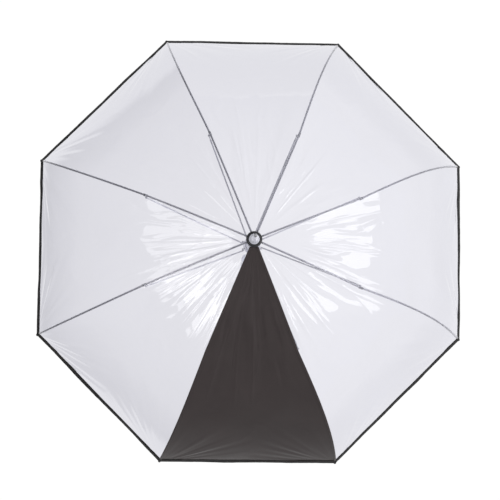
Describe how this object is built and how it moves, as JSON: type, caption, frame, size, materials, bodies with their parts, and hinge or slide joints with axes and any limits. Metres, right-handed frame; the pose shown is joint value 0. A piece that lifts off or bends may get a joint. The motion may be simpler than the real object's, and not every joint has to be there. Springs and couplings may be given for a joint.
{
  "type": "umbrella",
  "caption": "Clear dome stick umbrella with one opaque gore, black edge tape, folding ribs and stretchers, sliding runner, spring catches, clear ferrule and crook handle.",
  "frame": {"origin": "middle of the crook handle's straight part, on the shaft's axis", "axes": "+Z along the shaft towards the ferrule; the opaque gore and the crook's hook point to -Y"},
  "size_m": [0.797, 0.797, 0.866],
  "materials": {
    "shaft_metal": "bright plated tube",
    "wire": "drawn wire",
    "rib_metal": "zinc-plated strip",
    "spring_steel": "hardened strip",
    "spike_metal": "dull grey",
    "black_plastic": "moulded, slightly glossy",
    "clear_plastic": "clear moulded",
    "pale_plastic": "milky moulded",
    "clear_film": "soft clear film with faint creases",
    "dark_film": "satin opaque film",
    "hem_fabric": "woven binding tape"
  },
  "bodies": {
    "shaft_group": {"shaft": "shaft_metal", "top_notch": "black_plastic", "notch_wire": "wire", "canopy_cap": "black_plastic", "ferrule": "clear_plastic", "ferrule_spike": "spike_metal", "handle": "clear_plastic"},
    "runner": {"runner": "pale_plastic", "runner_wire": "wire"},
    "top_catch": {"top_catch": "spring_steel"},
    "bottom_catch": {"bottom_catch": "spring_steel"},
    "rib_1": {"rib_inner_1": "rib_metal"},
    "rib_end_1": {"rib_outer_1": "rib_metal"},
    "stretcher_1": {"stretcher_1": "rib_metal"},
    "film_1": {"gore_upper_1": "dark_film"},
    "film_end_1": {"gore_lower_1": "dark_film", "hem_tape_1": "hem_fabric", "tie_strap": "hem_fabric"},
    "rib_2": {"rib_inner_2": "rib_metal"},
    "rib_end_2": {"rib_outer_2": "rib_metal"},
    "stretcher_2": {"stretcher_2": "rib_metal"},
    "film_2": {"gore_upper_2": "clear_film"},
    "film_end_2": {"gore_lower_2": "clear_film", "hem_tape_2": "hem_fabric"},
    "rib_3": {"rib_inner_3": "rib_metal"},
    "rib_end_3": {"rib_outer_3": "rib_metal"},
    "stretcher_3": {"stretcher_3": "rib_metal"},
    "film_3": {"gore_upper_3": "clear_film"},
    "film_end_3": {"gore_lower_3": "clear_film", "hem_tape_3": "hem_fabric"},
    "rib_4": {"rib_inner_4": "rib_metal"},
    "rib_end_4": {"rib_outer_4": "rib_metal"},
    "stretcher_4": {"stretcher_4": "rib_metal"},
    "film_4": {"gore_upper_4": "clear_film"},
    "film_end_4": {"gore_lower_4": "clear_film", "hem_tape_4": "hem_fabric"},
    "rib_5": {"rib_inner_5": "rib_metal"},
    "rib_end_5": {"rib_outer_5": "rib_metal"},
    "stretcher_5": {"stretcher_5": "rib_metal"},
    "film_5": {"gore_upper_5": "clear_film"},
    "film_end_5": {"gore_lower_5": "clear_film", "hem_tape_5": "hem_fabric"},
    "rib_6": {"rib_inner_6": "rib_metal"},
    "rib_end_6": {"rib_outer_6": "rib_metal"},
    "stretcher_6": {"stretcher_6": "rib_metal"},
    "film_6": {"gore_upper_6": "clear_film"},
    "film_end_6": {"gore_lower_6": "clear_film", "hem_tape_6": "hem_fabric"},
    "rib_7": {"rib_inner_7": "rib_metal"},
    "rib_end_7": {"rib_outer_7": "rib_metal"},
    "stretcher_7": {"stretcher_7": "rib_metal"},
    "film_7": {"gore_upper_7": "clear_film"},
    "film_end_7": {"gore_lower_7": "clear_film", "hem_tape_7": "hem_fabric"},
    "rib_8": {"rib_inner_8": "rib_metal"},
    "rib_end_8": {"rib_outer_8": "rib_metal"},
    "stretcher_8": {"stretcher_8": "rib_metal"},
    "film_8": {"gore_upper_8": "clear_film"},
    "film_end_8": {"gore_lower_8": "clear_film", "hem_tape_8": "hem_fabric"}
  },
  "joints": [
    {"name": "runner_slide", "type": "slide", "parent": "shaft_group", "child": "runner", "axis": [0, 0, -1], "range_m": [0, 0.2341]},
    {"name": "rib_fold_1", "type": "hinge", "parent": "shaft_group", "child": "rib_1", "pos_m": [0.00325, -0.00785, 0.69], "axis": [0.9239, 0.3827, 0], "range_deg": [0, 63.93]},
    {"name": "rib_flex_1", "type": "hinge", "parent": "rib_1", "child": "rib_end_1", "pos_m": [0.09846, -0.23771, 0.5945], "axis": [0.9239, 0.3827, 0], "range_deg": [-27.06, 0]},
    {"name": "stretcher_fold_1", "type": "hinge", "parent": "runner", "child": "stretcher_1", "pos_m": [0.00421, -0.01016, 0.5275], "axis": [0.9239, 0.3827, 0], "range_deg": [-53.21, 0]},
    {"name": "film_fold_1", "type": "hinge", "parent": "shaft_group", "child": "film_1", "pos_m": [0, -0.00785, 0.69], "axis": [1, 0, 0], "range_deg": [0, 62.04], "deforming": ["gore_upper_1"]},
    {"name": "film_flex_1", "type": "hinge", "parent": "film_1", "child": "film_end_1", "pos_m": [0, -0.23912, 0.5966], "axis": [1, 0, 0], "range_deg": [-28.38, 0], "deforming": ["gore_lower_1", "hem_tape_1"]},
    {"name": "rib_fold_2", "type": "hinge", "parent": "shaft_group", "child": "rib_2", "pos_m": [0.00785, -0.00325, 0.69], "axis": [0.3827, 0.9239, 0], "range_deg": [0, 63.93]},
    {"name": "rib_flex_2", "type": "hinge", "parent": "rib_2", "child": "rib_end_2", "pos_m": [0.23771, -0.09846, 0.5945], "axis": [0.3827, 0.9239, 0], "range_deg": [-27.06, 0]},
    {"name": "stretcher_fold_2", "type": "hinge", "parent": "runner", "child": "stretcher_2", "pos_m": [0.01016, -0.00421, 0.5275], "axis": [0.3827, 0.9239, 0], "range_deg": [-53.21, 0]},
    {"name": "film_fold_2", "type": "hinge", "parent": "shaft_group", "child": "film_2", "pos_m": [0.00555, -0.00555, 0.69], "axis": [0.7071, 0.7071, 0], "range_deg": [0, 62.04], "deforming": ["gore_upper_2"]},
    {"name": "film_flex_2", "type": "hinge", "parent": "film_2", "child": "film_end_2", "pos_m": [0.16908, -0.16908, 0.5966], "axis": [0.7071, 0.7071, 0], "range_deg": [-28.38, 0], "deforming": ["gore_lower_2", "hem_tape_2"]},
    {"name": "rib_fold_3", "type": "hinge", "parent": "shaft_group", "child": "rib_3", "pos_m": [0.00785, 0.00325, 0.69], "axis": [-0.3827, 0.9239, 0], "range_deg": [0, 63.93]},
    {"name": "rib_flex_3", "type": "hinge", "parent": "rib_3", "child": "rib_end_3", "pos_m": [0.23771, 0.09846, 0.5945], "axis": [-0.3827, 0.9239, 0], "range_deg": [-27.06, 0]},
    {"name": "stretcher_fold_3", "type": "hinge", "parent": "runner", "child": "stretcher_3", "pos_m": [0.01016, 0.00421, 0.5275], "axis": [-0.3827, 0.9239, 0], "range_deg": [-53.21, 0]},
    {"name": "film_fold_3", "type": "hinge", "parent": "shaft_group", "child": "film_3", "pos_m": [0.00785, 0, 0.69], "axis": [0, 1, 0], "range_deg": [0, 62.04], "deforming": ["gore_upper_3"]},
    {"name": "film_flex_3", "type": "hinge", "parent": "film_3", "child": "film_end_3", "pos_m": [0.23912, 0, 0.5966], "axis": [0, 1, 0], "range_deg": [-28.38, 0], "deforming": ["gore_lower_3", "hem_tape_3"]},
    {"name": "rib_fold_4", "type": "hinge", "parent": "shaft_group", "child": "rib_4", "pos_m": [0.00325, 0.00785, 0.69], "axis": [-0.9239, 0.3827, 0], "range_deg": [0, 63.93]},
    {"name": "rib_flex_4", "type": "hinge", "parent": "rib_4", "child": "rib_end_4", "pos_m": [0.09846, 0.23771, 0.5945], "axis": [-0.9239, 0.3827, 0], "range_deg": [-27.06, 0]},
    {"name": "stretcher_fold_4", "type": "hinge", "parent": "runner", "child": "stretcher_4", "pos_m": [0.00421, 0.01016, 0.5275], "axis": [-0.9239, 0.3827, 0], "range_deg": [-53.21, 0]},
    {"name": "film_fold_4", "type": "hinge", "parent": "shaft_group", "child": "film_4", "pos_m": [0.00555, 0.00555, 0.69], "axis": [-0.7071, 0.7071, 0], "range_deg": [0, 62.04], "deforming": ["gore_upper_4"]},
    {"name": "film_flex_4", "type": "hinge", "parent": "film_4", "child": "film_end_4", "pos_m": [0.16908, 0.16908, 0.5966], "axis": [-0.7071, 0.7071, 0], "range_deg": [-28.38, 0], "deforming": ["gore_lower_4", "hem_tape_4"]},
    {"name": "rib_fold_5", "type": "hinge", "parent": "shaft_group", "child": "rib_5", "pos_m": [-0.00325, 0.00785, 0.69], "axis": [-0.9239, -0.3827, 0], "range_deg": [0, 63.93]},
    {"name": "rib_flex_5", "type": "hinge", "parent": "rib_5", "child": "rib_end_5", "pos_m": [-0.09846, 0.23771, 0.5945], "axis": [-0.9239, -0.3827, 0], "range_deg": [-27.06, 0]},
    {"name": "stretcher_fold_5", "type": "hinge", "parent": "runner", "child": "stretcher_5", "pos_m": [-0.00421, 0.01016, 0.5275], "axis": [-0.9239, -0.3827, 0], "range_deg": [-53.21, 0]},
    {"name": "film_fold_5", "type": "hinge", "parent": "shaft_group", "child": "film_5", "pos_m": [0, 0.00785, 0.69], "axis": [-1, 0, 0], "range_deg": [0, 62.04], "deforming": ["gore_upper_5"]},
    {"name": "film_flex_5", "type": "hinge", "parent": "film_5", "child": "film_end_5", "pos_m": [0, 0.23912, 0.5966], "axis": [-1, 0, 0], "range_deg": [-28.38, 0], "deforming": ["gore_lower_5", "hem_tape_5"]},
    {"name": "rib_fold_6", "type": "hinge", "parent": "shaft_group", "child": "rib_6", "pos_m": [-0.00785, 0.00325, 0.69], "axis": [-0.3827, -0.9239, 0], "range_deg": [0, 63.93]},
    {"name": "rib_flex_6", "type": "hinge", "parent": "rib_6", "child": "rib_end_6", "pos_m": [-0.23771, 0.09846, 0.5945], "axis": [-0.3827, -0.9239, 0], "range_deg": [-27.06, 0]},
    {"name": "stretcher_fold_6", "type": "hinge", "parent": "runner", "child": "stretcher_6", "pos_m": [-0.01016, 0.00421, 0.5275], "axis": [-0.3827, -0.9239, 0], "range_deg": [-53.21, 0]},
    {"name": "film_fold_6", "type": "hinge", "parent": "shaft_group", "child": "film_6", "pos_m": [-0.00555, 0.00555, 0.69], "axis": [-0.7071, -0.7071, 0], "range_deg": [0, 62.04], "deforming": ["gore_upper_6"]},
    {"name": "film_flex_6", "type": "hinge", "parent": "film_6", "child": "film_end_6", "pos_m": [-0.16908, 0.16908, 0.5966], "axis": [-0.7071, -0.7071, 0], "range_deg": [-28.38, 0], "deforming": ["gore_lower_6", "hem_tape_6"]},
    {"name": "rib_fold_7", "type": "hinge", "parent": "shaft_group", "child": "rib_7", "pos_m": [-0.00785, -0.00325, 0.69], "axis": [0.3827, -0.9239, 0], "range_deg": [0, 63.93]},
    {"name": "rib_flex_7", "type": "hinge", "parent": "rib_7", "child": "rib_end_7", "pos_m": [-0.23771, -0.09846, 0.5945], "axis": [0.3827, -0.9239, 0], "range_deg": [-27.06, 0]},
    {"name": "stretcher_fold_7", "type": "hinge", "parent": "runner", "child": "stretcher_7", "pos_m": [-0.01016, -0.00421, 0.5275], "axis": [0.3827, -0.9239, 0], "range_deg": [-53.21, 0]},
    {"name": "film_fold_7", "type": "hinge", "parent": "shaft_group", "child": "film_7", "pos_m": [-0.00785, 0, 0.69], "axis": [0, -1, 0], "range_deg": [0, 62.04], "deforming": ["gore_upper_7"]},
    {"name": "film_flex_7", "type": "hinge", "parent": "film_7", "child": "film_end_7", "pos_m": [-0.23912, 0, 0.5966], "axis": [0, -1, 0], "range_deg": [-28.38, 0], "deforming": ["gore_lower_7", "hem_tape_7"]},
    {"name": "rib_fold_8", "type": "hinge", "parent": "shaft_group", "child": "rib_8", "pos_m": [-0.00325, -0.00785, 0.69], "axis": [0.9239, -0.3827, 0], "range_deg": [0, 63.93]},
    {"name": "rib_flex_8", "type": "hinge", "parent": "rib_8", "child": "rib_end_8", "pos_m": [-0.09846, -0.23771, 0.5945], "axis": [0.9239, -0.3827, 0], "range_deg": [-27.06, 0]},
    {"name": "stretcher_fold_8", "type": "hinge", "parent": "runner", "child": "stretcher_8", "pos_m": [-0.00421, -0.01016, 0.5275], "axis": [0.9239, -0.3827, 0], "range_deg": [-53.21, 0]},
    {"name": "film_fold_8", "type": "hinge", "parent": "shaft_group", "child": "film_8", "pos_m": [-0.00555, -0.00555, 0.69], "axis": [0.7071, -0.7071, 0], "range_deg": [0, 62.04], "deforming": ["gore_upper_8"]},
    {"name": "film_flex_8", "type": "hinge", "parent": "film_8", "child": "film_end_8", "pos_m": [-0.16908, -0.16908, 0.5966], "axis": [0.7071, -0.7071, 0], "range_deg": [-28.38, 0], "deforming": ["gore_lower_8", "hem_tape_8"]},
    {"name": "top_catch_press", "type": "hinge", "parent": "shaft_group", "child": "top_catch", "pos_m": [0, -0.0026, 0.4414], "axis": [-1, 0, 0], "range_deg": [0, 5.5], "stiffness_Nm_per_rad": 0.02, "springref_deg": -5.73},
    {"name": "bottom_catch_press", "type": "hinge", "parent": "shaft_group", "child": "bottom_catch", "pos_m": [0, -0.0026, 0.22892], "axis": [-1, 0, 0], "range_deg": [0, 5.5], "stiffness_Nm_per_rad": 0.02, "springref_deg": -5.73}
  ],
  "couplings": [
    {"joint": "rib_fold_1", "follows": "runner_slide", "rad_per_m": 4.766},
    {"joint": "rib_flex_1", "follows": "runner_slide", "rad_per_m": -2.0176},
    {"joint": "stretcher_fold_1", "follows": "runner_slide", "rad_per_m": -3.9669},
    {"joint": "film_fold_1", "follows": "runner_slide", "rad_per_m": 4.6254},
    {"joint": "film_flex_1", "follows": "runner_slide", "rad_per_m": -2.116},
    {"joint": "rib_fold_2", "follows": "runner_slide", "rad_per_m": 4.766},
    {"joint": "rib_flex_2", "follows": "runner_slide", "rad_per_m": -2.0176},
    {"joint": "stretcher_fold_2", "follows": "runner_slide", "rad_per_m": -3.9669},
    {"joint": "film_fold_2", "follows": "runner_slide", "rad_per_m": 4.6254},
    {"joint": "film_flex_2", "follows": "runner_slide", "rad_per_m": -2.116},
    {"joint": "rib_fold_3", "follows": "runner_slide", "rad_per_m": 4.766},
    {"joint": "rib_flex_3", "follows": "runner_slide", "rad_per_m": -2.0176},
    {"joint": "stretcher_fold_3", "follows": "runner_slide", "rad_per_m": -3.9669},
    {"joint": "film_fold_3", "follows": "runner_slide", "rad_per_m": 4.6254},
    {"joint": "film_flex_3", "follows": "runner_slide", "rad_per_m": -2.116},
    {"joint": "rib_fold_4", "follows": "runner_slide", "rad_per_m": 4.766},
    {"joint": "rib_flex_4", "follows": "runner_slide", "rad_per_m": -2.0176},
    {"joint": "stretcher_fold_4", "follows": "runner_slide", "rad_per_m": -3.9669},
    {"joint": "film_fold_4", "follows": "runner_slide", "rad_per_m": 4.6254},
    {"joint": "film_flex_4", "follows": "runner_slide", "rad_per_m": -2.116},
    {"joint": "rib_fold_5", "follows": "runner_slide", "rad_per_m": 4.766},
    {"joint": "rib_flex_5", "follows": "runner_slide", "rad_per_m": -2.0176},
    {"joint": "stretcher_fold_5", "follows": "runner_slide", "rad_per_m": -3.9669},
    {"joint": "film_fold_5", "follows": "runner_slide", "rad_per_m": 4.6254},
    {"joint": "film_flex_5", "follows": "runner_slide", "rad_per_m": -2.116},
    {"joint": "rib_fold_6", "follows": "runner_slide", "rad_per_m": 4.766},
    {"joint": "rib_flex_6", "follows": "runner_slide", "rad_per_m": -2.0176},
    {"joint": "stretcher_fold_6", "follows": "runner_slide", "rad_per_m": -3.9669},
    {"joint": "film_fold_6", "follows": "runner_slide", "rad_per_m": 4.6254},
    {"joint": "film_flex_6", "follows": "runner_slide", "rad_per_m": -2.116},
    {"joint": "rib_fold_7", "follows": "runner_slide", "rad_per_m": 4.766},
    {"joint": "rib_flex_7", "follows": "runner_slide", "rad_per_m": -2.0176},
    {"joint": "stretcher_fold_7", "follows": "runner_slide", "rad_per_m": -3.9669},
    {"joint": "film_fold_7", "follows": "runner_slide", "rad_per_m": 4.6254},
    {"joint": "film_flex_7", "follows": "runner_slide", "rad_per_m": -2.116},
    {"joint": "rib_fold_8", "follows": "runner_slide", "rad_per_m": 4.766},
    {"joint": "rib_flex_8", "follows": "runner_slide", "rad_per_m": -2.0176},
    {"joint": "stretcher_fold_8", "follows": "runner_slide", "rad_per_m": -3.9669},
    {"joint": "film_fold_8", "follows": "runner_slide", "rad_per_m": 4.6254},
    {"joint": "film_flex_8", "follows": "runner_slide", "rad_per_m": -2.116}
  ]
}
